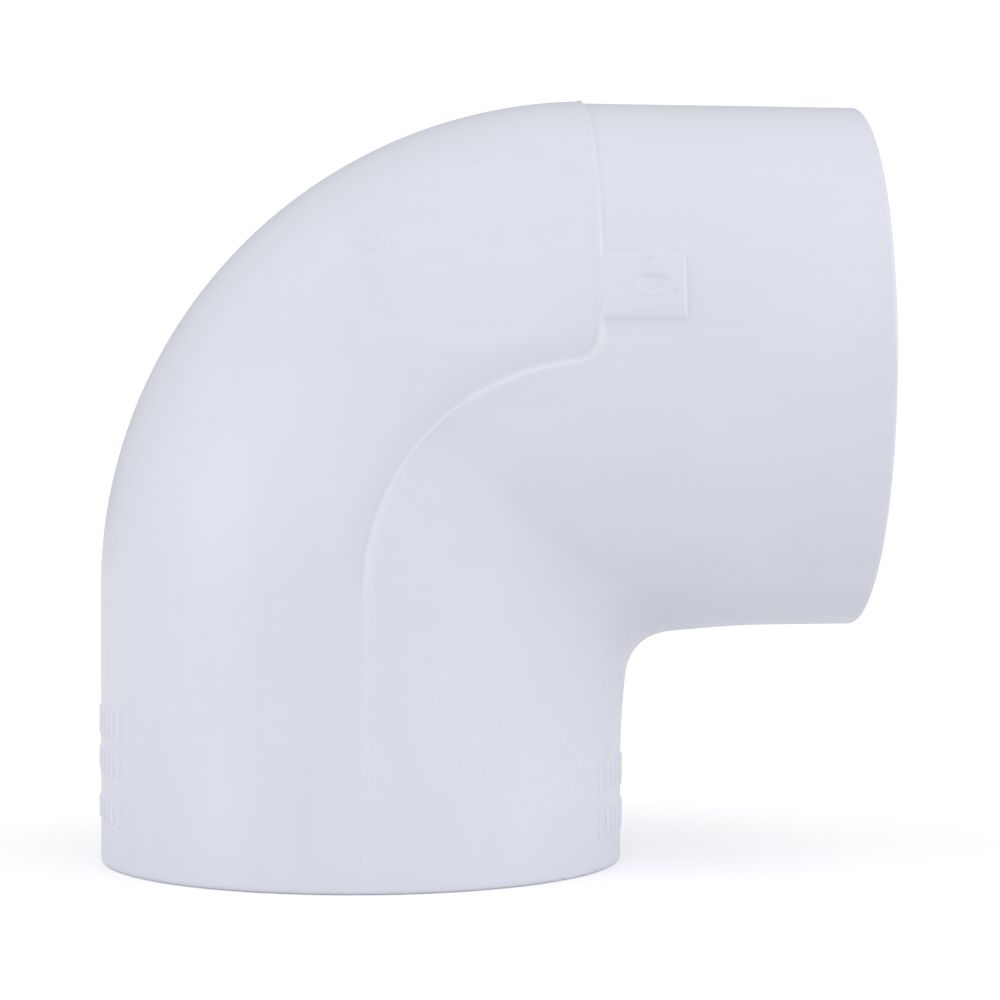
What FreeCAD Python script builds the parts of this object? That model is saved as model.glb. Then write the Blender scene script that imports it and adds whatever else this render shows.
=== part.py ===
import FreeCAD, Part
import math
import os

from FreeCAD import Placement, Rotation, Vector
from Sketcher import Constraint

# A 90 degree slip by slip elbow for nominal 3 inch pipe, injection moulded in one piece.
#
# The origin is the centre of the lower mouth, on its rim. +Z runs up the lower hub, whose
# mouth faces down, and the side hub runs along +X. The two hub axes cross at the corner point
# (0, 0, centre_height). All sizes are in millimetres and degrees.
#
# The outside is what the mould's blocks leave: a heel block shapes the outer half of the lower
# hub and the sweep of the bend, and a throat block shapes the inner half, the crease of the
# throat and the side hub. They meet along a parting line on the front and back crowns.

SIZES = [
    ("centre_height", 96.1, "corner point to either mouth"),
    ("mouth_radius", 50.6, "outside of either mouth"),
    ("block_mismatch", 0.1, "throat block stands proud of the heel block at the crowns"),
    ("side_root_radius", 51.4, "outside of the side hub, drawn out to the corner point"),
    ("heel_centre_x", 44.15, "centre of the heel's sweep, beside the lower hub's axis"),
    ("heel_centre_drop", 43.3, "centre of the heel's sweep, below the side hub's axis"),
    ("heel_end_radius", 51.0, "tube radius of the heel where it meets the side hub"),
    ("heel_end_rise", 0.45, "heel's tube centre above the side hub's axis at that end"),
    ("heel_chord", 14.0, "flat inner side of the heel's section, past the tube's centre"),
    ("parting_radius", 41.6, "parting line's arc across the bend"),
    ("parting_corner", 5.2, "rounding where the arc turns up the side hub's seam"),
    ("seam_distance", 42.3, "corner point to the seam around the side hub"),
    ("flare_angle", 4.9, "slope of the thickened throat"),
    ("flare_radius", 50.3, "tube radius of the thickened throat"),
    ("lower_flare_start", 25.5, "lower mouth to the start of the throat's slope"),
    ("side_flare_start", 22.4, "side mouth to the start of the throat's slope"),
    ("throat_fillet", 7.2, "rounding of the crease between the two hubs"),
    ("rim_round", 0.9, "outer edge of either mouth"),
    ("socket_radius", 44.55, "straight wall of the pipe socket"),
    ("socket_wall_end", 40.0, "mouth to the end of the straight wall"),
    ("seat_radius", 44.35, "socket at the pipe stop"),
    ("socket_depth", 48.3, "mouth to pipe stop"),
    ("lead_in_radius", 44.65, "socket at the inner end of the mouth's bevel"),
    ("lead_in_depth", 12.0, "length of the slightly tapered entry"),
    ("mouth_bevel", 1.2, "bevel around the inside of either mouth"),
    ("waterway_radius", 39.0, "bore beyond the pipe stops"),
    ("waterway_bend", 44.0, "centreline radius of the waterway"),
    ("bead_radius", 0.65, "round of the flash bead along the parting line"),
    ("bead_height", 0.2, "bead above the crown of the lower hub"),
    ("bead_tilt", 0.6, "turn of the bead's plane, which follows the heel's growing tube"),
    ("bead_sweep", 82.0, "how far the bead follows the arc"),
    ("pad_length", 15.4, "gate pad, along the side hub"),
    ("pad_width", 11.3, "gate pad, around the side hub"),
    ("pad_flank", 1.45, "width of the pad's sloping lower side"),
    ("pad_lean", 0.3, "slope of that side in its last millimetre"),
    ("pad_height", 0.8, "gate pad above the side hub"),
    ("pad_root", 8.0, "the pad's block starts this far outside the waterway"),
    ("pad_angle", 16.6, "middle of the pad above the front crown"),
    ("pad_round", 0.5, "edges of the pad"),
    ("scar_place", 8.75, "middle of the gate scar from the seam"),
    ("scar_length", 4.3, "gate scar, along the side hub"),
    ("scar_width", 3.0, "gate scar, around the side hub"),
    ("scar_depth", 0.45, "gate scar"),
    ("stroke_width", 1.0, "one plain raised stroke"),
    ("stroke_relief", 0.28, "stroke above the hub"),
    ("stroke_root", 2.7, "stroke below the hub's surface"),
    ("stroke_pitch", 4.1, "turn from one stroke to the next"),
    ("outer_low_middle", 10.8, "middle of a row of strokes above the lower mouth"),
    ("outer_low_length", 4.4, "length of its strokes"),
    ("outer_mid_middle", 20.2, "the next row"),
    ("outer_mid_length", 4.8, "its strokes"),
    ("outer_high_middle", 27.7, "the highest row on the outer side"),
    ("outer_high_length", 6.0, "its strokes"),
    ("inner_low_middle", 9.2, "lower row on the inner side"),
    ("inner_low_length", 5.6, "its strokes"),
    ("inner_high_middle", 17.7, "upper row on the inner side"),
    ("inner_high_length", 5.9, "its strokes"),
]

# Each row of strokes, the way that it faces in degrees from +X, and how many strokes it has on
# each side of its middle one.
STROKE_ROWS = [
    ("outer_low", 180, 6),
    ("outer_mid", 180, 6),
    ("outer_high", 180, 6),
    ("inner_low", 0, 7),
    ("inner_high", 0, 7),
]

# The gate scar is where the tip of an ellipsoid dips into the pad. Its half height and the height
# of its centre over the pad are in scar depths. Its other two half sizes are in lengths or widths
# of the scar, and make the dip exactly that long and wide at the pad's face.
SCAR_TALL = 2.5
SCAR_HOVER = SCAR_TALL - 1.0
SCAR_WIDE = 0.5 / math.sqrt(1.0 - (SCAR_HOVER / SCAR_TALL) ** 2)

REACH = 140.0        # half-size of helper blocks, larger than the fitting
BELOW = 10.0         # helper blocks start this far under the lower mouth
NEAR = 0.5           # an edge this near to a place is the edge there
CREASE_WIDTH = 6.0   # the throat's crease stays this near to the mitre
CREASE_REACH = 20.0  # it is longer than this, and this far out along +X
TOP = "sizes.centre_height"
ALONG_X = Rotation(Vector(0, 1, 0), 90)
ALONG_Y = Rotation(Vector(1, 0, 0), -90)


def make_sheet(doc):
    """The driving sizes, one row each, with a name that expressions can use."""
    sheet = doc.addObject("Spreadsheet::Sheet", "sizes")
    for row, (alias, value, meaning) in enumerate(SIZES, 1):
        sheet.set(f"A{row}", meaning)
        sheet.set(f"B{row}", str(value))
        sheet.setAlias(f"B{row}", alias)
    doc.recompute()
    return sheet


def bind(thing, bindings):
    for name, formula in bindings.items():
        thing.setExpression(name, formula)


def put(thing, x="0", y="0", z="0", turn=Rotation()):
    """Place an object: its turn is fixed and its position follows the sheet."""
    thing.Placement = Placement(Vector(), turn)
    bind(thing, {"Placement.Base.x": x, "Placement.Base.y": y, "Placement.Base.z": z})
    return thing


def primitive(doc, kind, name, bindings, x="0", y="0", z="0", turn=Rotation()):
    thing = doc.addObject(kind, name)
    bind(thing, bindings)
    return put(thing, x, y, z, turn)


def fuse(doc, name, pieces):
    joined = doc.addObject("Part::MultiFuse", name)
    joined.Shapes = pieces
    return joined


def combine(doc, kind, name, base, tool):
    """A two-piece boolean: kind is Part::Cut or Part::Common."""
    result = doc.addObject(kind, name)
    result.Base = base
    result.Tool = tool
    return result


def soften(doc, name, base, wanted, radius):
    """Fillet the edges of base whose middle point passes the test `wanted`."""
    doc.recompute()
    picked = []
    for number, edge in enumerate(base.Shape.Edges, 1):
        middle = edge.valueAt((edge.FirstParameter + edge.LastParameter) / 2)
        if wanted(edge, middle):
            picked.append((number, radius, radius))
    if not picked:
        raise RuntimeError(f"{name} found no edge to round")
    result = doc.addObject("Part::Fillet", name)
    result.Base = base
    result.Edges = picked
    return result


def half_round(doc, name, radius, chord):
    """Section of the heel: a circle about the sketch origin, cut flat at x = chord."""
    sketch = doc.addObject("Sketcher::SketchObject", name)
    r = sketch.evalExpression(radius)
    c = sketch.evalExpression(chord)
    opening = math.acos(c / r)
    circle = Part.Circle(Vector(), Vector(0, 0, 1), r)
    arc = sketch.addGeometry(Part.ArcOfCircle(circle, opening, 2 * math.pi - opening))
    low = Vector(c, -r * math.sin(opening), 0)
    high = Vector(c, r * math.sin(opening), 0)
    line = sketch.addGeometry(Part.LineSegment(low, high))
    sketch.addConstraint(Constraint("Coincident", arc, 2, line, 1))
    sketch.addConstraint(Constraint("Coincident", line, 2, arc, 1))
    sketch.addConstraint(Constraint("Coincident", arc, 3, -1, 1))
    sketch.addConstraint(Constraint("Vertical", line))
    size = sketch.addConstraint(Constraint("Radius", arc, r))
    flat = sketch.addConstraint(Constraint("DistanceX", -1, 1, line, 1, c))
    bind(sketch, {f"Constraints[{size}]": radius, f"Constraints[{flat}]": chord})
    return sketch


def polygon(doc, name, corners):
    """A closed outline whose corners are pairs of formulas, from the sketch origin."""
    sketch = doc.addObject("Sketcher::SketchObject", name)
    points = [Vector(sketch.evalExpression(x), sketch.evalExpression(y), 0) for x, y in corners]
    for start, end in zip(points, points[1:] + points[:1]):
        sketch.addGeometry(Part.LineSegment(start, end))
    for side in range(len(points)):
        following = (side + 1) % len(points)
        sketch.addConstraint(Constraint("Coincident", side, 2, following, 1))
    for side, (x, y) in enumerate(corners):
        across = Constraint("DistanceX", -1, 1, side, 1, points[side].x)
        along = Constraint("DistanceY", -1, 1, side, 1, points[side].y)
        bind(sketch, {f"Constraints[{sketch.addConstraint(across)}]": x})
        bind(sketch, {f"Constraints[{sketch.addConstraint(along)}]": y})
    return sketch


def parting_region(doc):
    """The space on the heel block's side of the parting line, right through the fitting."""
    whole = primitive(doc, "Part::Box", "heel_side", {
        "Length": f"{REACH} + sizes.seam_distance",
        "Width": f"{2 * REACH}",
        "Height": f"{REACH} + {TOP}",
    }, x=f"-{REACH}", y=f"-{REACH}", z=f"-{BELOW}")
    arc_centre = f"{TOP} - sizes.parting_radius"
    below = primitive(doc, "Part::Box", "throat_side_below", {
        "Length": f"{REACH}", "Width": f"{2 * REACH}", "Height": f"{REACH} + {arc_centre}",
    }, y=f"-{REACH}", z=f"-{REACH}")
    inside = primitive(doc, "Part::Cylinder", "throat_side_arc", {
        "Radius": "sizes.parting_radius", "Height": f"{2 * REACH}",
    }, x="sizes.parting_radius", y=f"-{REACH}", z=arc_centre, turn=ALONG_Y)
    throat_side = fuse(doc, "throat_side", [below, inside])
    squared = combine(doc, "Part::Cut", "heel_side_squared", whole, throat_side)

    def at_corner(edge, middle):
        beside = abs(middle.x - doc.sizes.seam_distance)
        above = abs(middle.z - doc.sizes.centre_height)
        return beside < NEAR and above < NEAR

    return soften(doc, "heel_region", squared, at_corner, doc.sizes.parting_corner)


def heel_block_shape(doc, region):
    """Outer half of the lower hub and the sweep of the bend, up to the side hub's seam."""
    sweep_height = f"{TOP} - sizes.heel_centre_drop"
    low_section = put(half_round(doc, "heel_low_section", "sizes.mouth_radius", "sizes.heel_chord"),
                      z=sweep_height)
    end_section = put(half_round(doc, "heel_end_section", "sizes.heel_end_radius", "sizes.heel_chord"),
                      x="sizes.heel_centre_x", z=f"{TOP} + sizes.heel_end_rise", turn=ALONG_X)
    spine = primitive(doc, "Part::Circle", "heel_spine", {
        "Radius": "sizes.heel_centre_x", "Angle1": "90", "Angle2": "180",
    }, x="sizes.heel_centre_x", z=sweep_height, turn=Rotation(Vector(1, 0, 0), 90))
    bend = doc.addObject("Part::Sweep", "heel_bend")
    bend.Sections = [end_section, low_section]
    bend.Spine = (spine, ["Edge1"])
    bend.Solid = True
    straight = doc.addObject("Part::Extrusion", "heel_straight")
    straight.Base = low_section
    straight.Dir = Vector(0, 0, -1)
    straight.Solid = True
    bind(straight, {"LengthFwd": sweep_height})

    def at_rim(edge, middle):
        return abs(middle.z) < NEAR and middle.x < -NEAR

    rounded = soften(doc, "heel_straight_rounded", straight, at_rim, doc.sizes.rim_round)
    return combine(doc, "Part::Common", "heel_half", fuse(doc, "heel_whole", [rounded, bend]), region)


def throat_block_shape(doc, region):
    """Inner half of the lower hub, the creased throat and the whole side hub."""
    lower = primitive(doc, "Part::Cylinder", "lower_tube", {
        "Radius": "sizes.mouth_radius + sizes.block_mismatch", "Height": TOP,
    }, x="-sizes.block_mismatch")
    side = primitive(doc, "Part::Cone", "side_tube", {
        "Radius1": "sizes.side_root_radius", "Radius2": "sizes.mouth_radius", "Height": TOP,
    }, z=TOP, turn=ALONG_X)
    rim = doc.sizes.rim_round
    lower_rounded = soften(doc, "lower_tube_rounded", lower,
                           lambda edge, middle: abs(middle.z) < NEAR, rim)
    side_rounded = soften(doc, "side_tube_rounded", side,
                          lambda edge, middle: middle.x > doc.sizes.centre_height - NEAR, rim)

    rise = "sizes.flare_radius * sin(sizes.flare_angle)"
    reach = "sizes.flare_radius * cos(sizes.flare_angle)"
    lower_flare = primitive(doc, "Part::Cylinder", "lower_flare", {
        "Radius": "sizes.flare_radius",
        "Height": f"({TOP} - sizes.lower_flare_start - {rise}) / cos(sizes.flare_angle)",
        "Placement.Rotation.Angle": "sizes.flare_angle",
    }, x=f"sizes.mouth_radius - {reach}", z=f"sizes.lower_flare_start + {rise}",
        turn=Rotation(Vector(0, 1, 0), 1))
    growth = "(sizes.side_root_radius - sizes.mouth_radius) / sizes.centre_height"
    side_radius = f"(sizes.mouth_radius + sizes.side_flare_start * {growth})"
    side_flare = primitive(doc, "Part::Cylinder", "side_flare", {
        "Radius": "sizes.flare_radius",
        "Height": f"({TOP} - sizes.side_flare_start - {rise}) / cos(sizes.flare_angle)",
        "Placement.Rotation.Angle": "90 + sizes.flare_angle",
    }, x=f"{TOP} - sizes.side_flare_start - {rise}", z=f"{TOP} - {side_radius} + {reach}",
        turn=Rotation(Vector(0, -1, 0), 1))
    tubes = fuse(doc, "throat_whole", [lower_rounded, side_rounded, lower_flare, side_flare])
    half = combine(doc, "Part::Cut", "throat_half", tubes, region)

    def in_crease(edge, middle):
        corner = doc.sizes.centre_height - doc.sizes.mouth_radius
        across = abs((middle.x - doc.sizes.mouth_radius) - (corner - middle.z))
        return across < CREASE_WIDTH and min(middle.x, edge.Length) > CREASE_REACH

    return soften(doc, "throat_softened", half, in_crease, doc.sizes.throat_fillet)


def flash_bead(doc, front):
    """The thin round bead along the parting line, on the front (-1) or back (+1) crown."""
    name = "front" if front < 0 else "back"
    start_x = "-sizes.bead_radius"
    depth = f"{front} * (sizes.mouth_radius + sizes.bead_height - sizes.bead_radius)"
    arc_height = f"{TOP} - sizes.parting_radius"
    arc_size = "(sizes.parting_radius + sizes.bead_radius)"
    upright = primitive(doc, "Part::Cylinder", f"{name}_bead_upright", {
        "Radius": "sizes.bead_radius", "Height": f"{arc_height} - sizes.rim_round",
    }, x=start_x, y=depth, z="sizes.rim_round")
    tilt = doc.sizes.bead_tilt * front
    quarter = Rotation(Vector(-1, 0, 0), Vector(0, 0, 1), Vector(0, 1, 0), "ZXY")
    arc = primitive(doc, "Part::Torus", f"{name}_bead_arc", {
        "Radius1": arc_size, "Radius2": "sizes.bead_radius", "Angle3": "sizes.bead_sweep",
    }, x=f"{start_x} + {arc_size} * cos(sizes.bead_tilt)",
        y=f"{depth} + {front} * {arc_size} * sin(sizes.bead_tilt)", z=arc_height,
        turn=Rotation(Vector(0, 0, 1), tilt) * quarter)
    return [upright, arc]


def gate_pad(doc):
    """The low pad beside the seam where the plastic entered, and the tool for its scar."""
    facing = Rotation(Vector(0, 0, 1), Vector(0, -1, 0), Vector(1, 0, 0), "ZXY")
    turn = Rotation(Vector(1, 0, 0), -doc.sizes.pad_angle) * facing
    top = "(sizes.heel_end_radius + sizes.pad_height)"
    foot_x = "(sizes.pad_width / 2 + sizes.pad_flank)"
    root = "sizes.waterway_radius + sizes.pad_root"
    profile = polygon(doc, "pad_profile", [
        (f"-{foot_x}", root),
        (f"-{foot_x}", f"sqrt(sizes.heel_end_radius ^ 2 - {foot_x} ^ 2)"),
        ("-sizes.pad_width / 2", f"sqrt({top} ^ 2 - (sizes.pad_width / 2) ^ 2)"),
        ("-sizes.pad_width / 2 + sizes.pad_lean", f"{top} + 1"),
        ("sizes.pad_width / 2", f"{top} + 1"),
        ("sizes.pad_width / 2", root),
    ])
    put(profile, x="sizes.seam_distance", z=TOP, turn=turn)
    block = doc.addObject("Part::Extrusion", "pad_block")
    block.Base = profile
    block.Dir = Vector(1, 0, 0)
    block.Solid = True
    bind(block, {"LengthFwd": "sizes.pad_length"})
    limit = primitive(doc, "Part::Cylinder", "pad_limit", {
        "Radius": top, "Height": TOP,
    }, z=TOP, turn=ALONG_X)
    pad = combine(doc, "Part::Common", "pad_curved", block, limit)

    def on_face(edge, middle):
        from_axis = math.hypot(middle.y, middle.z - doc.sizes.centre_height)
        depth = doc.sizes.heel_end_radius + doc.sizes.pad_height - from_axis
        return depth < doc.sizes.pad_height / 2 and middle.x > doc.sizes.seam_distance + NEAR

    rounded = soften(doc, "pad_rounded", pad, on_face, doc.sizes.pad_round)
    hover = f"(sizes.heel_end_radius + sizes.pad_height + {SCAR_HOVER} * sizes.scar_depth)"
    scar = primitive(doc, "Part::Ellipsoid", "gate_scar", {
        "Radius1": f"{SCAR_TALL} * sizes.scar_depth",
        "Radius2": f"{SCAR_WIDE} * sizes.scar_length",
        "Radius3": f"{SCAR_WIDE} * sizes.scar_width",
    }, x="sizes.seam_distance + sizes.scar_place",
        y=f"-{hover} * cos(sizes.pad_angle)", z=f"{TOP} + {hover} * sin(sizes.pad_angle)",
        turn=Rotation(Vector(1, 0, 0), 90 - doc.sizes.pad_angle))
    return rounded, scar


def raised_strokes(doc):
    """Rows of plain strokes around the two sides of the lower hub."""
    strokes = []
    inner_face = "(sizes.mouth_radius - sizes.stroke_root)"
    for row, facing, beside in STROKE_ROWS:
        for place in range(-beside, beside + 1):
            turn = facing + place * doc.sizes.stroke_pitch
            c = round(math.cos(math.radians(turn)), 6)
            s = round(math.sin(math.radians(turn)), 6)
            strokes.append(primitive(doc, "Part::Box", f"stroke_{row}_{place + beside}", {
                "Length": "sizes.stroke_root + sizes.stroke_relief",
                "Width": "sizes.stroke_width",
                "Height": f"sizes.{row}_length",
            }, x=f"{inner_face} * {c} + sizes.stroke_width / 2 * {s}",
                y=f"{inner_face} * {s} - sizes.stroke_width / 2 * {c}",
                z=f"sizes.{row}_middle - sizes.{row}_length / 2",
                turn=Rotation(Vector(0, 0, 1), turn)))
    return strokes


def socket(doc, name, side):
    """One pipe socket, from the mouth: bevel, tapered entry, straight wall, seat and stop."""
    bevel = "sizes.mouth_bevel"
    lead = "sizes.lead_in_radius"
    steps = [
        ("bevel", f"-{bevel}", f"2 * {bevel}", f"{lead} + 2 * {bevel}", lead),
        ("entry", bevel, f"sizes.lead_in_depth - {bevel}", lead, "sizes.socket_radius"),
        ("wall", "sizes.lead_in_depth", "sizes.socket_wall_end - sizes.lead_in_depth",
         "sizes.socket_radius", None),
        ("seat", "sizes.socket_wall_end", "sizes.socket_depth - sizes.socket_wall_end",
         "sizes.socket_radius", "sizes.seat_radius"),
        ("neck", "sizes.socket_depth - 1", f"{TOP} - sizes.waterway_bend - sizes.socket_depth + 1",
         "sizes.waterway_radius", None),
    ]
    pieces = []
    for step, start, length, radius, end_radius in steps:
        place = {"x": f"{TOP} - ({start})", "z": TOP} if side else {"z": start}
        place["turn"] = Rotation(Vector(0, 1, 0), -90) if side else Rotation()
        if end_radius is None:
            kind, radii = "Part::Cylinder", {"Radius": radius}
        else:
            kind, radii = "Part::Cone", {"Radius1": radius, "Radius2": end_radius}
        pieces.append(primitive(doc, kind, f"{name}_{step}", {**radii, "Height": length}, **place))
    return pieces


def bore(doc):
    """Both sockets and the curved waterway that joins them."""
    quarter = Rotation(Vector(-1, 0, 0), Vector(0, 0, 1), Vector(0, 1, 0), "ZXY")
    bend = primitive(doc, "Part::Torus", "waterway", {
        "Radius1": "sizes.waterway_bend", "Radius2": "sizes.waterway_radius", "Angle3": "90",
    }, x="sizes.waterway_bend", z=f"{TOP} - sizes.waterway_bend", turn=quarter)
    lower = socket(doc, "lower_socket", False)
    side = socket(doc, "side_socket", True)
    return fuse(doc, "bore", lower + side + [bend])


def elbow_body(doc):
    region = parting_region(doc)
    heel = heel_block_shape(doc, region)
    throat = throat_block_shape(doc, region)
    pad, scar = gate_pad(doc)
    beads = flash_bead(doc, -1) + flash_bead(doc, 1)
    outside = fuse(doc, "outside", [heel, throat, pad] + beads + raised_strokes(doc))
    scarred = combine(doc, "Part::Cut", "outside_scarred", outside, scar)
    body = combine(doc, "Part::Cut", "elbow_body", scarred, bore(doc))
    body.Label = "elbow_body"
    return body


def check(doc, parts):
    """Stop before anything is written if a feature failed or a part isn't a solid."""
    for thing in doc.Objects:
        if "Invalid" in thing.State or "Error" in thing.State:
            raise RuntimeError(f"{thing.Name} failed: {thing.State}")
    for part in parts:
        shape = part.Shape
        if shape.isNull() or not shape.isValid() or len(shape.Solids) != 1:
            raise RuntimeError(f"{part.Label} is not one valid solid")
        print(part.Label, "volume", round(shape.Volume / 1000, 1), "cm3", shape.BoundBox)


def main():
    doc = FreeCAD.newDocument("elbow")
    make_sheet(doc)
    parts = [elbow_body(doc)]
    doc.recompute()
    check(doc, parts)
    os.makedirs("parts", exist_ok=True)
    for part in parts:
        part.Shape.exportStep(f"parts/{part.Label}.step")


main()
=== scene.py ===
"""The looks of a white PVC pipe elbow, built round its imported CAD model.

The elbow is one moulding, so its skin is one closed mesh: rings of points that run up the
outside from the lower mouth to the side mouth, and back through both sockets and the waterway.
Lengths are in millimetres until a mesh is written. Heights named `rise` are above the side
hub's axis, which the CAD puts at CORNER_HEIGHT above the lower mouth.
"""

import math

import bpy
import numpy as np
from mathutils import Matrix, Vector


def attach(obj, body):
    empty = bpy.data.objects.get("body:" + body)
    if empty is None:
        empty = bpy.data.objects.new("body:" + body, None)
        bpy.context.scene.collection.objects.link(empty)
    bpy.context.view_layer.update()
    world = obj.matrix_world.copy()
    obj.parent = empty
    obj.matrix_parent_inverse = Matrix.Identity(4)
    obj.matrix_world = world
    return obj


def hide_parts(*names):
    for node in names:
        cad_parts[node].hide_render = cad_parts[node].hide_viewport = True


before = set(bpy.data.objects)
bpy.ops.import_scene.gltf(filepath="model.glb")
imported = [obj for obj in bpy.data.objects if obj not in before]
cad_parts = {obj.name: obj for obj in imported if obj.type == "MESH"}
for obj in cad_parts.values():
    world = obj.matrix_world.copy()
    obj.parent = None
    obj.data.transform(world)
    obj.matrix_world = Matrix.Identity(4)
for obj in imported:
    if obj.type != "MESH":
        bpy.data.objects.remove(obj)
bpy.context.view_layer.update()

MM = 0.001
CORNER_HEIGHT = 96.1          # each mouth to the other hub's axis
MOUTH_RADIUS = 50.6           # outside of either mouth
THROAT_RADIUS = 50.7          # inner half of the lower hub
THROAT_OFFSET = -0.1          # its axis, beside the heel half's
SIDE_ROOT_RADIUS = 51.4       # side hub's cone, drawn out to the corner point
SWEEP_X = 44.15               # centre of the heel's sweep
SWEEP_RISE = -43.3
SWEEP_GROWTH = 0.4            # tube radius gained over the sweep, and centreline radius lost
PARTING = 41.6                # radius and place of the parting line's arc
SEAM_X = 42.3                 # seam round the side hub
SEAM_CORNER = 5.2             # rounding where the arc turns up the seam
LEDGE_WIDTH = 0.34            # slope of the ledge between the two blocks
FAN = 62.0                    # throat rows turn about this point beyond the crease

FLARE_RADIUS = 50.3           # the throat is thickened by a tube that leans in from each mouth
FLARE_ANGLE = math.radians(4.9)
LOWER_FLARE = (0.484, -66.3)  # a point on each flare's axis
SIDE_FLARE = (69.4, -0.67)
FLARE_CREASE = 0.5            # rounding between a hub and its flare
THROAT_CREASE = 8.5           # rounding between the two hubs, in the throat
SIDE_CREASE = 0.8             # and on the front and the back
CREASE_START = 26.0           # it sharpens over this stretch, measured from the middle plane
CREASE_END = 47.0

FLASH_HEIGHT = 0.14           # up the lower hub
FLASH_ON_ARC = 0.21           # gained on the arc
FLASH_AT_END = 0.10           # gained where the arc ends
FLASH_UP_SEAM = 0.24          # lost up the side hub's seam
FLASH_WIDTH = 0.5
FLASH_OFFSET = 0.2            # its crest stands this far on the heel's side of the line
GROOVE_DEPTH = 0.06           # beside the seam
ROLL_DEPTH = 0.50             # the heel's edge is rolled down beside the arc
ROLL_WIDTH = 6.8

PAD_LEAD = 0.15               # the gate pad starts this far before the seam
PAD_END = 57.65
PAD_FOOT = 8.6                # its lower and upper sides, in degrees above the front crown
PAD_TOP = 22.95
PAD_LIMIT = 34.0              # nothing of it lies above this angle
PAD_HEIGHT = 0.86
SCAR_X = 51.35                # middle of the torn gate scar, and half its length and height
SCAR_TURN = 16.1
SCAR_HALF_LENGTH = 3.3
SCAR_HALF_TURN = 2.2
CRATER_DEPTH = 0.38
SPECK_TURN = 21.1             # a speck above the scar
PIT_DEPTH = 0.24

RIM_ROUND = 0.9
BEVEL_END = 1.2               # depths inside the mouth
TAPER_END = 12.0
STOP_DEPTH = 48.3
ENTRY_RADIUS = 44.65          # at the bevel's foot
WALL_RADIUS = 44.55
WATERWAY = 39.0
WATERWAY_BEND = 44.0          # radius of its centreline round the bend
WATERWAY_RINGS = 23

STROKE_SPACING = 4.1          # degrees round the lower hub
STROKE_CORNER = 0.44
STROKE_LIFT = 0.05            # the wall that they stand on, outside the mouth's radius
STROKE_HIGHLIGHT = 0.9            # how much painted highlight their tops get


# ---------------------------------------------------------------- shape of the outside

def smooth_min(a, b, width):
    """The smaller of two distances, with the crease between them rounded over `width`."""
    overlap = np.maximum(width - np.abs(a - b), 0.0) / width
    return np.minimum(a, b) - overlap * overlap * width / 4


def smooth_step(value):
    """0 below 0, 1 above 1, and level at both ends."""
    t = np.clip(value, 0.0, 1.0)
    return t * t * (3 - 2 * t)


def cone_radius(x):
    """Outside of the side hub, which narrows towards its mouth."""
    return SIDE_ROOT_RADIUS + (MOUTH_RADIUS - SIDE_ROOT_RADIUS) * x / CORNER_HEIGHT


def heel_block(x, y, rise):
    """Distance outside the heel: a straight half tube below, then a sweep that grows a little."""
    turn = np.clip(np.arctan2(rise - SWEEP_RISE, SWEEP_X - x) / (math.pi / 2), 0.0, 1.1)
    reach = np.hypot(rise - SWEEP_RISE, SWEEP_X - x)
    swept = np.hypot(reach - SWEEP_X + SWEEP_GROWTH * turn, y) - MOUTH_RADIUS - SWEEP_GROWTH * turn
    return np.where(rise < SWEEP_RISE, np.hypot(x, y) - MOUTH_RADIUS, swept)


def side_hub(x, y, rise):
    """Distance outside the side hub alone."""
    return np.hypot(y, rise) - cone_radius(x)


def throat_block(x, y, rise):
    """Distance outside both hubs and the thickened throat, with a rounded crease between them."""
    lean = math.tan(FLARE_ANGLE)
    lower = np.maximum(np.hypot(x - THROAT_OFFSET, y) - THROAT_RADIUS, rise)
    flare_axis = LOWER_FLARE[0] + lean * (rise - LOWER_FLARE[1])
    lower_flare = np.hypot((x - flare_axis) * math.cos(FLARE_ANGLE), y) - FLARE_RADIUS
    lower_flare = np.maximum(lower_flare, rise)
    side = side_hub(x, y, rise)
    flare_axis = SIDE_FLARE[1] + lean * (x - SIDE_FLARE[0])
    side_flare = np.hypot((rise - flare_axis) * math.cos(FLARE_ANGLE), y) - FLARE_RADIUS
    lower = smooth_min(lower, lower_flare, FLARE_CREASE)
    side = smooth_min(side, side_flare, FLARE_CREASE)
    outward = smooth_step((np.abs(y) - CREASE_START) / (CREASE_END - CREASE_START))
    crease = THROAT_CREASE + (SIDE_CREASE - THROAT_CREASE) * outward
    return smooth_min(lower, side, crease)


def parting_distance(x, rise):
    """Distance from the parting line seen from the front, negative on the heel's side."""
    arc = PARTING - np.hypot(x - PARTING, rise + PARTING)
    across = np.where(rise < -PARTING, x, arc) + SEAM_CORNER
    along = x - SEAM_X + SEAM_CORNER
    outside = np.hypot(np.maximum(across, 0.0), np.maximum(along, 0.0))
    return np.minimum(np.maximum(across, along), 0.0) + outside - SEAM_CORNER


def bump(distance, width):
    """A bell, 1 at no distance and nearly 0 past twice its width."""
    return np.exp(-(distance / width) ** 2)


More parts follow.
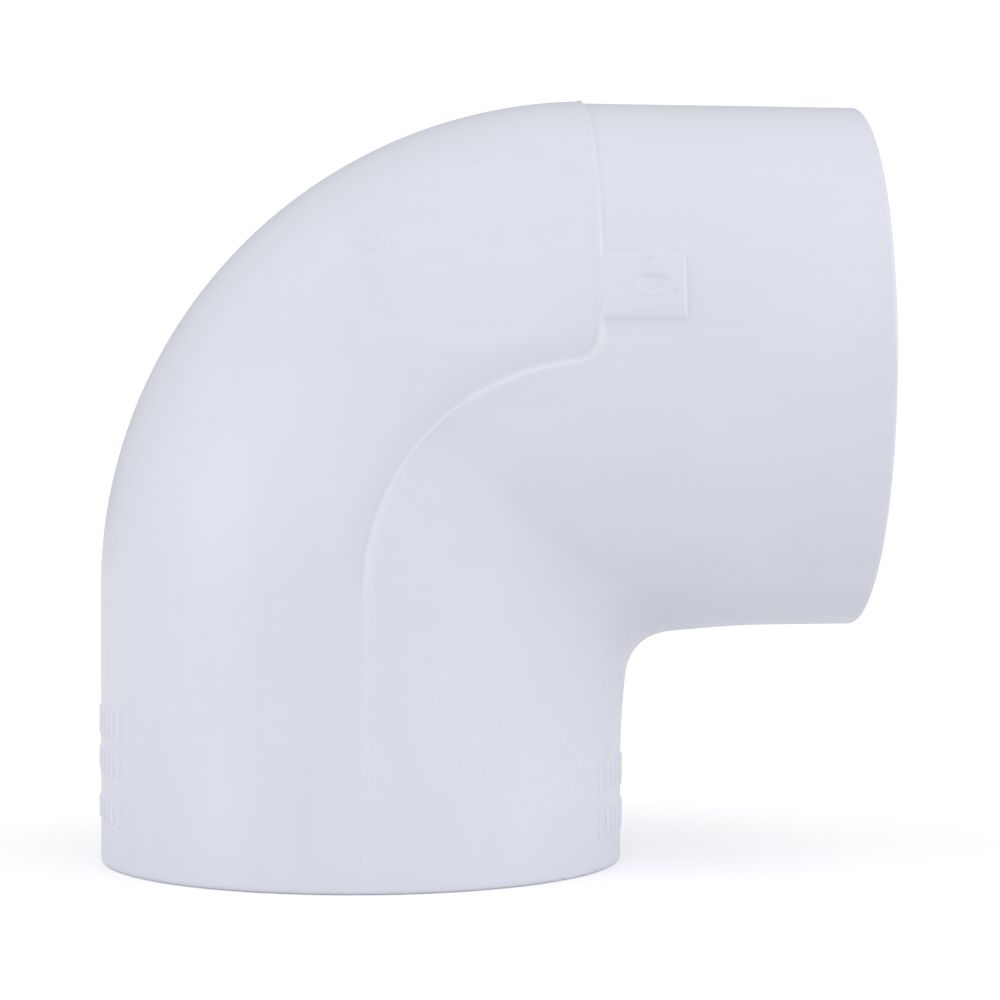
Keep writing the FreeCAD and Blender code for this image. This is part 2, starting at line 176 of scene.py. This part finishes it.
def flash(x, rise):
    """Height of the flash on the parting line, a painted highlight along its top, and painted shade
    beside it.

    It is a thin bead up the lower hub, a taller one on the arc, and fades up the seam.
    """
    d = parting_distance(x, rise)
    on_arc = smooth_step((rise + PARTING + 10) / 14)
    near_end = smooth_step((x - 10) / 18)
    up_seam = smooth_step((rise - 3) / 5)
    across_bend = on_arc * (1 - up_seam)
    uneven = 1 + 0.16 * np.sin(1.9 * x + 1.3 * rise) * np.sin(0.83 * rise - 0.6 * x + 1.0)
    tall = FLASH_HEIGHT + FLASH_ON_ARC * on_arc + FLASH_AT_END * near_end - FLASH_UP_SEAM * up_seam
    wider_side = 0.6 * across_bend * (d > -FLASH_OFFSET)
    crest_and_highlight = tall * uneven * bump(d + FLASH_OFFSET, FLASH_WIDTH + wider_side)
    groove = GROOVE_DEPTH * up_seam * uneven * bump(d - 0.6, 0.3)
    rolled = across_bend * smooth_step((rise + 54) / 26)
    towards_line = np.clip(1 + d / ROLL_WIDTH, 0.0, 1.0) ** 1.25
    before_crest = smooth_step(-(d + 0.1) / 0.9)
    roll = ROLL_DEPTH * rolled * towards_line * before_crest
    # Painted shade on the heel's side of the arc, where the rolled-down band turns away from the
    # light; it stops short of the bead.
    painted_roll_shade = 0.4 * rolled * smooth_step((d + 6.5) / 2.8) * smooth_step(-(d + 0.7) / 0.6)
    # Returned: the height, a painted highlight along the bead's top, and painted shade in the groove
    # beside the seam and on the rolled band.
    return crest_and_highlight - groove - roll, 2.5 * crest_and_highlight, 4.0 * groove + painted_roll_shade


def round_edge(inside, width):
    """Rise of a quarter-round edge, from 0 at the edge to 1 at `width` inside it."""
    t = np.clip(inside / width, 0.0, 1.0)
    return np.sqrt(1 - (1 - t) ** 2)


def gate_pad(x, turn):
    """Height of the gate pad, its painted highlight and its painted shade. `turn` is degrees above the
    crown.

    In its middle is the torn scar: a crater with a lip and a stub, a speck above and a pit beside.
    """
    start = x - SEAM_X + PAD_LEAD
    end = PAD_END - x
    top = PAD_TOP - turn
    plateau = smooth_step(start / 0.95) * round_edge(end, 0.8) * smooth_step(top / 1.15)
    plateau = plateau * round_edge(turn - PAD_FOOT, 2.3)
    crown = PAD_HEIGHT - 0.030 * np.abs(turn - 10.3)
    u = (x - SCAR_X) / SCAR_HALF_LENGTH
    v = (turn - SCAR_TURN) / SCAR_HALF_TURN
    around = np.arctan2(v, u)
    oval = (np.abs(u) ** 2.5 + np.abs(v) ** 2.5) ** 0.4
    reach = oval / (1 + 0.05 * np.sin(3 * around + 0.8) + 0.035 * np.sin(7 * around))
    upper = smooth_step(0.5 + 0.9 * v)
    crater = -CRATER_DEPTH * smooth_step((1.0 - reach) / 0.50)
    lip = 0.10 * bump(reach - 1.06, 0.11) * (1.1 - upper)
    stub = 0.26 * bump(np.hypot(u + 0.35, v + 0.15), 0.42)
    above = turn - SPECK_TURN
    speck = bump(np.hypot((x - 50.9 - 0.4 * above) / 2.6, above * 0.9), 0.32)
    pit = bump(np.hypot(x - 55.3, (turn - 14.4) * 0.9), 0.36)
    height = plateau * (crown + crater + lip + stub - PIT_DEPTH * speck - PIT_DEPTH * pit)
    # Painted highlight on the crater's lower lip, which faces the light, and on bands along the pad's
    # rounded edges.
    rim = bump(reach - 0.93, 0.15)
    painted_highlight = np.maximum(bump(start - 0.7, 0.35), bump(top - 0.6, 0.40)) + 0.4 * bump(end - 0.35, 0.3)
    bright = plateau * (0.40 * rim * (1 - upper) * (0.65 + 0.35 * np.sin(9 * around)) + 0.7 * painted_highlight)
    # Painted shade on the crater's upper rim, which faces away from the light, and in the sunk speck
    # and pit.
    dark = plateau * (0.25 * bump(reach - 0.9, 0.13) * upper + 0.6 * speck + 0.6 * pit)
    return height, bright, dark


def waviness(x, y, rise):
    """The slow unevenness of cooled plastic, a few hundredths of a millimetre."""
    a = np.sin(0.071 * x + 0.9) * np.sin(0.083 * y + 0.4) * np.sin(0.067 * rise)
    b = np.sin(0.17 * x + 0.11 * y + 2.0) * np.sin(0.13 * rise - 0.19 * y)
    return 0.045 * a + 0.018 * b


def outside_reach(origin, direction, block):
    """How far each ray runs from the centreline before it leaves a block."""
    nearest, farthest, halvings = 30.0, 66.0, 34
    low = np.full(direction.shape[:-1], nearest)
    high = np.full(direction.shape[:-1], farthest)
    for _ in range(halvings):
        middle = (low + high) / 2
        point = origin + direction * middle[..., None]
        inside = block(point[..., 0], point[..., 1], point[..., 2]) < 0
        low = np.where(inside, middle, low)
        high = np.where(inside, high, middle)
    return (low + high) / 2


# ---------------------------------------------------------------- rings and columns

def spread(*spans):
    """Values along spans of (start, end, step), each span divided evenly."""
    values = [spans[0][0]]
    for start, end, step in spans:
        count = max(1, math.ceil((end - start) / step - 1e-9))
        values += [start + (end - start) * k / count for k in range(1, count + 1)]
    return np.array(values)


def columns():
    """Angles round the section: 0 is the heel, -90 the front crown, 180 the throat."""
    front = spread(
        (-180.0, -112.0, 2.4), (-112.0, -95.0, 1.6), (-95.0, -91.6, 0.6), (-91.6, -81.0, 0.24),
        (-81.0, -78.9, 0.2), (-78.9, -68.1, 0.3), (-68.1, -66.8, 0.13), (-66.8, -62.0, 0.8),
        (-62.0, 0.0, 2.4),
    )
    back = spread(
        (0.0, 76.0, 2.4), (76.0, 81.0, 0.8), (81.0, 91.6, 0.26), (91.6, 95.0, 0.6),
        (95.0, 112.0, 1.6), (112.0, 180.0, 2.4),
    )
    return np.radians(np.concatenate([front, back[1:-1]]))


def centreline(travel):
    """Place on the section path, and the heel's and throat's directions there.

    `travel` runs up the lower hub to the arc, round it in arc length and out along the side hub.
    """
    straight = CORNER_HEIGHT - PARTING
    quarter = PARTING * math.pi / 2
    turn = np.clip((travel - straight) / PARTING, 0.0, math.pi / 2)
    x = PARTING * (1 - np.cos(turn)) + np.maximum(travel - straight - quarter, 0.0)
    rise = PARTING * (np.sin(turn) - 1) - np.maximum(straight - travel, 0.0)
    heel = np.stack([-np.cos(turn), np.sin(turn)], -1)
    to_fan = np.stack([FAN - x, -FAN - rise], -1)
    to_fan /= np.maximum(np.linalg.norm(to_fan, axis=-1, keepdims=True), 1e-9)
    below = (rise <= -FAN)[..., None]
    beyond = (x >= FAN)[..., None]
    throat = np.where(below, [1.0, 0.0], np.where(beyond, [0.0, -1.0], to_fan))
    return x, rise, heel, throat


def outer_rings(angles):
    """Points of the outside between the rims' roundings, one ring a row, with painted highlight and
    painted shade for each point.
    """
    arc_start = CORNER_HEIGHT - PARTING
    arc_end = arc_start + PARTING * math.pi / 2
    seam = arc_end + SEAM_X - PARTING
    end = arc_end + CORNER_HEIGHT - PARTING
    travel = spread(
        (RIM_ROUND, 4.0, 0.8), (4.0, arc_start, 1.5), (arc_start, arc_end - 8.0, 1.2),
        (arc_end - 8.0, seam - 0.45, 0.24), (seam - 0.45, seam + 0.25, 0.07),
        (seam + 0.25, seam + 0.95, 0.1), (seam + 0.95, seam + 14.5, 0.27),
        (seam + 14.5, seam + 15.6, 0.11), (seam + 15.6, end - 4.0, 1.5),
        (end - 4.0, end - RIM_ROUND, 0.8),
    )
    x, rise, heel, throat = centreline(travel)
    on_heel = (np.cos(angles) >= 0)[None, :, None]
    across = np.where(on_heel, heel[:, None, :], throat[:, None, :])
    spread_out = np.abs(np.cos(angles))[None, :, None] * across
    sideways = np.broadcast_to(np.sin(angles)[None, :], spread_out.shape[:2])
    direction = np.stack([spread_out[..., 0], sideways, spread_out[..., 1]], -1)
    origin = np.stack([x, np.zeros_like(x), rise], -1)[:, None, :]

    heel_reach = outside_reach(origin, direction, heel_block)
    throat_reach = outside_reach(origin, direction, throat_block)
    hub_reach = outside_reach(origin, direction, side_hub)
    hub_only = on_heel[..., 0] & (x > PARTING)[:, None]
    far_reach = np.where(hub_only, hub_reach, throat_reach)

    def place(reach):
        return origin + direction * reach[..., None]

    guess = place(np.maximum(far_reach, heel_reach))
    from_line = parting_distance(guess[..., 0], guess[..., 2])
    in_heel = smooth_step(0.5 - from_line / LEDGE_WIDTH)
    reach = far_reach + (heel_reach - far_reach) * in_heel
    point = place(reach)
    height, crest_and_highlight, painted_shade = flash(point[..., 0], point[..., 2])
    turn = np.degrees(angles)[None, :] + 90.0
    pad = (x > PARTING)[:, None] & (turn > 0.0) & (turn < PAD_LIMIT)
    pad_height, pad_bright, pad_dark = gate_pad(point[..., 0], turn)
    height = height + pad_height * pad
    crest_and_highlight = crest_and_highlight + pad_bright * pad
    painted_shade = painted_shade + pad_dark * pad
    near_rim = np.minimum(travel - RIM_ROUND, end - RIM_ROUND - travel)[:, None]
    height = height * smooth_step(near_rim / 1.2)
    waves = waviness(point[..., 0], point[..., 1], point[..., 2])
    height = height + waves * smooth_step(near_rim / 8)
    return place(reach + height), crest_and_highlight, painted_shade


def mouth_profile():
    """Distance inside the mouth and radius, from the outer rounding in to the waterway."""
    rim = [
        (RIM_ROUND * (1 - math.cos(angle)), MOUTH_RADIUS - RIM_ROUND * (1 - math.sin(angle)))
        for angle in np.radians([67.5, 45.0, 22.5, 0.0])
    ]
    face = [(0.0, 49.55), (0.0, 47.8), (0.0, 46.1), (0.02, 45.93), (0.07, 45.8)]
    bevel = [(0.6, 45.25), (1.13, 44.74), (BEVEL_END, 44.67), (1.32, 44.649)]
    narrowing = (ENTRY_RADIUS - WALL_RADIUS) / (TAPER_END - BEVEL_END)
    entry = [
        (depth, ENTRY_RADIUS - narrowing * (depth - BEVEL_END)) for depth in (3.0, 6.0, 9.0, TAPER_END)
    ]
    wall = [(depth, WALL_RADIUS) for depth in (16.0, 21.0, 26.0, 31.0, 36.0, 40.0)]
    seat = [(44.0, 44.45), (47.0, 44.38), (48.05, 44.355), (48.2, 44.34), (48.27, 44.27)]
    stop = [(STOP_DEPTH, radius) for radius in (44.1, 43.0, 41.2, 39.45)]
    neck = [(48.33, 39.2), (48.42, 39.05)] + [(depth, WATERWAY) for depth in (48.6, 50.0, 51.4)]
    return rim + face + bevel + entry + wall + seat + stop + neck


def mouth_rings(angles, outer, side):
    """Rings from the outside's last ring, round the rim and down the socket."""
    rings = []
    for depth, radius in mouth_profile():
        out = -radius * np.cos(angles)
        wide = radius * np.sin(angles)
        level = np.full_like(angles, depth)
        if side:
            ring = np.stack([CORNER_HEIGHT - level, wide, -out], -1)
        else:
            ring = np.stack([out, wide, level - CORNER_HEIGHT], -1)
        if radius > MOUTH_RADIUS - RIM_ROUND - 0.01:
            ring = follow_outside(ring, outer, side)
        rings.append(ring)
    return rings


def follow_outside(ring, outer, side):
    """Shift a rounding's ring by what the outside differs from a plain circle."""
    pair = (1, 2) if side else (0, 1)
    away = np.hypot(outer[:, pair[0]], outer[:, pair[1]]) - MOUTH_RADIUS
    size = np.hypot(ring[:, pair[0]], ring[:, pair[1]])
    scaled = ring.copy()
    for axis in pair:
        scaled[:, axis] = ring[:, axis] * (1 + away / size)
    return scaled


def waterway_rings(angles):
    """The curved bore between the two necks, from the lower one to the side one."""
    rings = []
    for turn in np.linspace(0.0, math.pi / 2, WATERWAY_RINGS):
        reach = WATERWAY_BEND + WATERWAY * np.cos(angles)
        x = WATERWAY_BEND - reach * math.cos(turn)
        rise = reach * math.sin(turn) - WATERWAY_BEND
        rings.append(np.stack([x, WATERWAY * np.sin(angles), rise], -1))
    return rings


def elbow_skin():
    """The closed mesh: every ring is joined to the next, and the last to the first."""
    angles = columns()
    outer, crest_and_highlight, painted_shade = outer_rings(angles)
    lower = mouth_rings(angles, outer[0], False)
    side = mouth_rings(angles, outer[-1], True)
    rings = list(outer) + side + waterway_rings(angles)[::-1] + lower[::-1]
    points = np.concatenate(rings)
    points[:, 2] += CORNER_HEIGHT
    rows = len(rings)
    across = len(angles)
    row = np.arange(rows)[:, None]
    column = np.arange(across)[None, :]
    next_row = (row + 1) % rows
    next_column = (column + 1) % across
    corners = np.stack([
        row * across + column, next_row * across + column,
        next_row * across + next_column, row * across + next_column,
    ], -1).reshape(-1, 4)
    mesh = bpy.data.meshes.new("elbow_skin")
    mesh.from_pydata((points * MM).tolist(), [], corners.tolist())
    mesh.validate()
    mesh.shade_smooth()
    # Painted highlight and painted shade go onto the mesh as point attributes, for the material to
    # tint with.
    for name, values in (("crest_and_highlight", crest_and_highlight), ("painted_shade", painted_shade)):
        layer = mesh.attributes.new(name, "FLOAT", "POINT")
        filled = np.zeros(len(points), np.float32)
        filled[:values.size] = np.clip(values.ravel(), 0.0, 1.0)
        layer.data.foreach_set("value", filled)
    return mesh


# ---------------------------------------------------------------- raised strokes

def raised_strokes():
    """Plain raised strokes on the lower hub: three rows on the heel's side, two on the throat's."""
    vertices = []
    faces = []
    heel_rows = [(27.7, 6.0), (20.2, 4.8), (10.8, 4.4)]       # height of the middle, length
    throat_rows = [(17.7, 5.9), (9.2, 5.6)]
    for facing, rows, beside in ((180.0, heel_rows, 6), (0.0, throat_rows, 7)):
        for index, (height, tall) in enumerate(rows):
            for place in range(-beside, beside + 1):
                short = (place * 3 + index * 2) % 5 == 0
                half_size = (0.60 if short else 0.50, tall * (0.4 if short else 0.5))
                add_stroke(vertices, faces, facing + STROKE_SPACING * place, height, half_size)
    mesh = bpy.data.meshes.new("raised_strokes")
    mesh.from_pydata([tuple(c * MM for c in v) for v in vertices], [], faces)
    mesh.shade_smooth()
    # Painted highlight: every point of the strokes gets the same value, to lighten their tops.
    painted_highlight = mesh.attributes.new("crest_and_highlight", "FLOAT", "POINT")
    painted_highlight.data.foreach_set("value", [STROKE_HIGHLIGHT] * len(vertices))
    return mesh


def add_stroke(vertices, faces, turn, height, half_size):
    """One stroke: a round-cornered bar on the hub's wall, domed and sunk a little into it.

    Its profile is given as height above the wall and inset from the bar's edge.
    """
    profile = [(-0.40, 0.0), (-0.02, 0.0), (0.10, 0.07), (0.19, 0.17), (0.25, 0.30), (0.27, 0.42)]
    outline = []
    for quarter, (sign_u, sign_v) in enumerate(((1, 1), (-1, 1), (-1, -1), (1, -1))):
        for step in range(5):
            angle = (quarter + step / 4) * math.pi / 2
            outline.append((sign_u, sign_v, math.cos(angle), math.sin(angle)))
    first = len(vertices)
    for out, inset in profile:
        radius = MOUTH_RADIUS + STROKE_LIFT + out
        for sign_u, sign_v, cosine, sine in outline:
            u = sign_u * (half_size[0] - STROKE_CORNER) + cosine * (STROKE_CORNER - inset)
            v = sign_v * (half_size[1] - STROKE_CORNER) + sine * (STROKE_CORNER - inset)
            angle = math.radians(turn) + u / radius
            vertices.append((radius * math.cos(angle), radius * math.sin(angle), height + v))
    count = len(outline)
    for ring in range(len(profile) - 1):
        for k in range(count):
            a = first + ring * count + k
            b = first + ring * count + (k + 1) % count
            faces.append((a, b, b + count, a + count))
    faces.append(tuple(first + k for k in reversed(range(count))))
    faces.append(tuple(first + (len(profile) - 1) * count + k for k in range(count)))


# ---------------------------------------------------------------- material

# The plastic's colour in linear light, and the colours that its marks tint it towards; the streak tone
# is partly painted reflection, the last two are painted highlight and painted shade.
BASE_TONE = (0.694, 0.709, 0.805, 1)
CLOUD_TONE = (0.724, 0.739, 0.833, 1)
STREAK_SHEEN_TONE = (0.738, 0.751, 0.840, 1)
SCUFF_TONE = (0.655, 0.668, 0.745, 1)
MARK_TONE = (0.60, 0.612, 0.685, 1)
SPECK_TONE = (0.45, 0.44, 0.44, 1)
HIGHLIGHT_TONE = (0.79, 0.80, 0.87, 1)
PAINTED_SHADE_TONE = (0.60, 0.61, 0.68, 1)

# Marks on the front of the bend: x, height and radius in metres, and strength.
RUBBED_PATCHES = [
    (0.0125, 0.1280, 0.0030, 0.10), (0.0065, 0.1245, 0.0034, 0.13), (0.0015, 0.1205, 0.0036, 0.16),
    (0.0000, 0.1155, 0.0034, 0.18), (0.0015, 0.1105, 0.0030, 0.12), (0.0030, 0.1055, 0.0030, 0.11),
    (0.0206, 0.1328, 0.0024, 0.16), (0.0240, 0.1200, 0.0032, 0.10), (0.0318, 0.1215, 0.0030, 0.12),
    (0.0325, 0.1180, 0.0030, 0.09),
]
SMUDGES = [
    (0.0303, 0.1341, 0.0021, 0.14), (0.0378, 0.1315, 0.0021, 0.17), (0.0483, 0.1292, 0.0019, 0.08),
]


class Surface:
    """Builds one material's nodes. All methods but `node` and `feed` return the socket made."""

    def __init__(self, name):
        self.material = bpy.data.materials.new(name)
        self.material.use_nodes = True
        self.tree = self.material.node_tree
        self.shader = self.tree.nodes["Principled BSDF"]

    def node(self, kind, settings=(), **inputs):
        node = self.tree.nodes.new(kind)
        for name, value in settings:
            setattr(node, name, value)
        for name, value in inputs.items():
            self.feed(value, node.inputs[name.replace("_", " ")])
        return node

    def feed(self, value, socket):
        if isinstance(value, bpy.types.NodeSocket):
            self.tree.links.new(value, socket)
        else:
            socket.default_value = value

    def place(self, scale):
        """Object coordinates, in metres, stretched by `scale` along each axis."""
        coordinates = self.node("ShaderNodeTexCoord").outputs["Object"]
        return self.node("ShaderNodeMapping", Vector=coordinates, Scale=scale).outputs["Vector"]

    def noise(self, scale, detail=2.0, roughness=0.5, distortion=0.0, where=None):
        where = where or self.place((1, 1, 1))
        made = self.node("ShaderNodeTexNoise", Vector=where, Scale=scale, Detail=detail,
                         Roughness=roughness, Distortion=distortion)
        return made.outputs["Fac"]

    def remap(self, value, low, high, new_low=0.0, new_high=1.0):
        made = self.node("ShaderNodeMapRange", [("interpolation_type", "SMOOTHSTEP")], Value=value,
                         From_Min=low, From_Max=high, To_Min=new_low, To_Max=new_high)
        return made.outputs["Result"]

    def math(self, operation, a, b):
        made = self.node("ShaderNodeMath", [("operation", operation)])
        self.feed(a, made.inputs[0])
        self.feed(b, made.inputs[1])
        return made.outputs["Value"]

    def tint(self, colour, amount, other):
        """`colour` mixed towards `other` by `amount`."""
        made = self.tree.nodes.new("ShaderNodeMix")
        made.data_type = "RGBA"
        self.feed(amount, made.inputs["Factor"])
        self.feed(colour, made.inputs["A"])
        self.feed(other, made.inputs["B"])
        return made.outputs["Result"]

    def bump(self, height, depth, under=None):
        made = self.node("ShaderNodeBump", Height=height, Distance=depth)
        if under:
            self.feed(under, made.inputs["Normal"])
        return made.outputs["Normal"]


def handling_marks(pvc):
    """Rubbed patches and round smudges on the front of the bend, placed in the view from -Y."""
    side_view = pvc.place((1, 0, 1))
    depth = pvc.node("ShaderNodeSeparateXYZ", Vector=pvc.place((1, 1, 1))).outputs["Y"]
    on_front = pvc.remap(depth, -0.010, -0.020)
    grain = pvc.remap(pvc.noise(800.0, 3.0, 0.65), 0.42, 0.66)
    total = 0.0
    for spots, rubbed in ((RUBBED_PATCHES, True), (SMUDGES, False)):
        for x, height, radius, strength in spots:
            offset = pvc.node("ShaderNodeVectorMath", [("operation", "SUBTRACT")])
            pvc.feed(side_view, offset.inputs[0])
            offset.inputs[1].default_value = (x, 0.0, height)
            reach = pvc.node("ShaderNodeVectorMath", [("operation", "LENGTH")],
                             Vector=offset.outputs["Vector"])
            faded = pvc.remap(reach.outputs["Value"], radius * 1.8, radius * 0.4, 0.0, strength)
            if rubbed:
                faded = pvc.math("MULTIPLY", faded, grain)
            total = pvc.math("ADD", total, faded)
    return pvc.math("MULTIPLY", total, on_front)


def white_pvc():
    """Cool white moulded plastic: flow lines that also carry a painted reflection, faint clouding,
    scuffs, a fine satin grain, and painted highlight and painted shade from the mesh.
    """
    pvc = Surface("white_pvc")
    place = pvc.node("ShaderNodeSeparateXYZ", Vector=pvc.place((1, 1, 1)))
    on_side = pvc.remap(pvc.math("ADD", place.outputs["X"], place.outputs["Z"]), 0.085, 0.115)

    clouds = pvc.remap(pvc.noise(26.0, 3.0, 0.55, 0.6), 0.20, 0.82)
    along_side = pvc.noise(1.0, 3.0, 0.6, 0.2, pvc.place((9, 120, 150)))
    along_lower = pvc.noise(1.0, 3.0, 0.6, 0.2, pvc.place((130, 130, 8)))
    streaks_and_sheen = pvc.math("ADD", pvc.math("MULTIPLY", along_side, on_side),
                       pvc.math("MULTIPLY", along_lower, pvc.math("SUBTRACT", 1.0, on_side)))
    streaks_and_sheen = pvc.remap(streaks_and_sheen, 0.28, 0.76)
    scuff_zone = pvc.remap(pvc.noise(19.0, 1.0), 0.55, 0.68)
    scuffs = pvc.math("MULTIPLY", scuff_zone, pvc.remap(pvc.noise(310.0, 4.0, 0.65, 0.3), 0.52, 0.66))
    specks = pvc.remap(pvc.noise(700.0, 1.0), 0.79, 0.84)
    marks = handling_marks(pvc)
    crest_and_highlight = pvc.node("ShaderNodeAttribute", [("attribute_name", "crest_and_highlight")]).outputs["Fac"]
    painted_shade = pvc.node("ShaderNodeAttribute", [("attribute_name", "painted_shade")]).outputs["Fac"]

    colour = pvc.tint(BASE_TONE, clouds, CLOUD_TONE)
    # Streaks tinted lighter: painted reflection of the light bands that run along each hub; the same
    # streaks also set roughness and relief.
    colour = pvc.tint(colour, pvc.math("MULTIPLY", streaks_and_sheen, 0.45), STREAK_SHEEN_TONE)
    colour = pvc.tint(colour, pvc.math("MULTIPLY", scuffs, 0.12), SCUFF_TONE)
    colour = pvc.tint(colour, marks, MARK_TONE)
    colour = pvc.tint(colour, pvc.math("MULTIPLY", specks, 0.18), SPECK_TONE)
    # Painted highlight on the flash, the pad's edges, the crater's lip and the strokes; painted shade
    # beside the seam and the arc and in the pad's hollows.
    colour = pvc.tint(colour, pvc.math("MULTIPLY", crest_and_highlight, 0.5), HIGHLIGHT_TONE)
    colour = pvc.tint(colour, pvc.math("MULTIPLY", painted_shade, 0.4), PAINTED_SHADE_TONE)
    pvc.feed(colour, pvc.shader.inputs["Base Color"])

    cloud_rough = pvc.remap(clouds, 0.0, 1.0, 0.31, 0.35)
    rough = pvc.math("ADD", cloud_rough, pvc.math("MULTIPLY", scuffs, 0.12))
    rough = pvc.math("SUBTRACT", rough, pvc.math("MULTIPLY", streaks_and_sheen, 0.02))
    pvc.feed(rough, pvc.shader.inputs["Roughness"])
    pvc.shader.inputs["Specular IOR Level"].default_value = 0.5

    # Relief, with its depths in metres: slow dimples, streaks, scuffs, marks and the satin grain.
    surface = pvc.bump(pvc.noise(95.0, 2.0, 0.5), 0.00009)
    surface = pvc.bump(streaks_and_sheen, 0.00003, surface)
    surface = pvc.bump(scuffs, 0.00004, surface)
    surface = pvc.bump(marks, 0.00012, surface)
    surface = pvc.bump(pvc.noise(1700.0, 3.0, 0.6), 0.000012, surface)
    pvc.feed(surface, pvc.shader.inputs["Normal"])
    return pvc.material


# ---------------------------------------------------------------- studio

CAMERA_LENS = 113.16
CAMERA_SENSOR = 36.0
CAMERA_TURNS = (("Z", -0.0652), ("X", -0.0268), ("Y", -0.0015))    # radians, from a view along +Y
CAMERA_AIM = (27.06, 0.0, 69.82)
CAMERA_DISTANCE = 615.74
LIGHT_AIM = (0.02, 0.0, 0.08)                       # metres, as are the floor and the softboxes
FRONT_GLOW, SIDE_GLOW, BACK_GLOW = 0.90, 1.06, 0.37
BACKGROUND = 1.05                                   # what the camera sees past the floor
FLOOR_REACH = 4.0
FLOOR_GLOW = 0.22


def camera():
    """A long lens, a little to the left of the elbow's front and a little above it."""
    data = bpy.data.cameras.new("camera")
    data.lens = CAMERA_LENS
    data.sensor_width = CAMERA_SENSOR
    data.clip_start = 0.01
    item = bpy.data.objects.new("camera", data)
    bpy.context.scene.collection.objects.link(item)
    turn = Matrix.Identity(3)
    for axis, angle in CAMERA_TURNS:
        turn = turn @ Matrix.Rotation(angle, 3, axis)
    right, up, back = (turn @ Vector(axis) for axis in ((1, 0, 0), (0, 0, 1), (0, -1, 0)))
    matrix = Matrix((right, up, back)).transposed().to_4x4()
    matrix.translation = (Vector(CAMERA_AIM) + back * CAMERA_DISTANCE) * MM
    item.matrix_world = matrix
    bpy.context.scene.camera = item


def softbox(name, place, size, power):
    """A rectangular area light, turned towards the middle of the object."""
    data = bpy.data.lights.new(name, "AREA")
    data.shape = "RECTANGLE"
    data.size = size[0]
    data.size_y = size[1]
    data.energy = power
    item = bpy.data.objects.new(name, data)
    bpy.context.scene.collection.objects.link(item)
    item.location = place
    aim = Vector(LIGHT_AIM) - Vector(place)
    item.rotation_euler = aim.to_track_quat("-Z", "Y").to_euler()


def surroundings():
    """Soft light from all round, dimmer from behind, and an even white for the camera."""
    world = bpy.data.worlds.new("studio")
    world.use_nodes = True
    bpy.context.scene.world = world
    tree = world.node_tree
    sky = tree.nodes["Background"]
    sky.inputs["Color"].default_value = (1.0, 1.0, 1.0, 1.0)
    path = tree.nodes.new("ShaderNodeLightPath")
    direction = tree.nodes.new("ShaderNodeTexCoord")
    axes = tree.nodes.new("ShaderNodeSeparateXYZ")
    tree.links.new(direction.outputs["Generated"], axes.inputs["Vector"])
    front_to_back = tree.nodes.new("ShaderNodeMapRange")
    front_to_back.inputs["From Min"].default_value = -1.0
    tree.links.new(axes.outputs["Y"], front_to_back.inputs["Value"])
    walls = tree.nodes.new("ShaderNodeValToRGB")
    tree.links.new(front_to_back.outputs["Result"], walls.inputs["Fac"])
    stops = walls.color_ramp.elements
    stops[0].color = (FRONT_GLOW, FRONT_GLOW, FRONT_GLOW, 1.0)
    stops[1].color = (BACK_GLOW, BACK_GLOW, BACK_GLOW, 1.0)
    stops.new(0.5).color = (SIDE_GLOW, SIDE_GLOW, SIDE_GLOW, 1.0)
    strength = tree.nodes.new("ShaderNodeMix")
    strength.inputs["B"].default_value = BACKGROUND
    tree.links.new(path.outputs["Is Camera Ray"], strength.inputs["Factor"])
    tree.links.new(walls.outputs["Color"], strength.inputs["A"])
    tree.links.new(strength.outputs["Result"], sky.inputs["Strength"])


def ground():
    """A plain pale floor, lifted a little for the camera so that it meets the background."""
    mesh = bpy.data.meshes.new("floor")
    corners = [(u * FLOOR_REACH, v * FLOOR_REACH, 0) for u, v in ((-1, -1), (1, -1), (1, 1), (-1, 1))]
    mesh.from_pydata(corners, [], [(0, 1, 2, 3)])
    floor = bpy.data.objects.new("floor", mesh)
    bpy.context.scene.collection.objects.link(floor)
    paint = bpy.data.materials.new("floor_paint")
    paint.use_nodes = True
    shader = paint.node_tree.nodes["Principled BSDF"]
    shader.inputs["Base Color"].default_value = (0.92, 0.92, 0.92, 1.0)
    shader.inputs["Roughness"].default_value = 0.9
    shader.inputs["Specular IOR Level"].default_value = 0.0
    shader.inputs["Emission Color"].default_value = (1.0, 1.0, 1.0, 1.0)
    glow = paint.node_tree.nodes.new("ShaderNodeMapRange")
    glow.inputs["To Max"].default_value = FLOOR_GLOW
    seen = paint.node_tree.nodes.new("ShaderNodeLightPath")
    paint.node_tree.links.new(seen.outputs["Is Camera Ray"], glow.inputs["Value"])
    paint.node_tree.links.new(glow.outputs["Result"], shader.inputs["Emission Strength"])
    mesh.materials.append(paint)


def studio():
    """The room, the floor and two softboxes, each with its place, size and power in watts."""
    surroundings()
    ground()
    softbox("left_light", (-1.38, -0.62, 0.33), (0.9, 0.6), 1.8)
    softbox("right_light", (1.45, -0.25, 0.61), (0.9, 0.9), 3.45)


def add_piece(name, mesh, material):
    """A piece that rides on the one body."""
    piece = bpy.data.objects.new(name, mesh)
    bpy.context.scene.collection.objects.link(piece)
    mesh.materials.append(material)
    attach(piece, "root")
    return piece


bpy.context.scene.view_settings.view_transform = "Standard"
plastic = white_pvc()
skin = add_piece("elbow_skin", elbow_skin(), plastic)
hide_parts("elbow_body")
add_piece("raised_strokes", raised_strokes(), plastic)
camera()
studio()
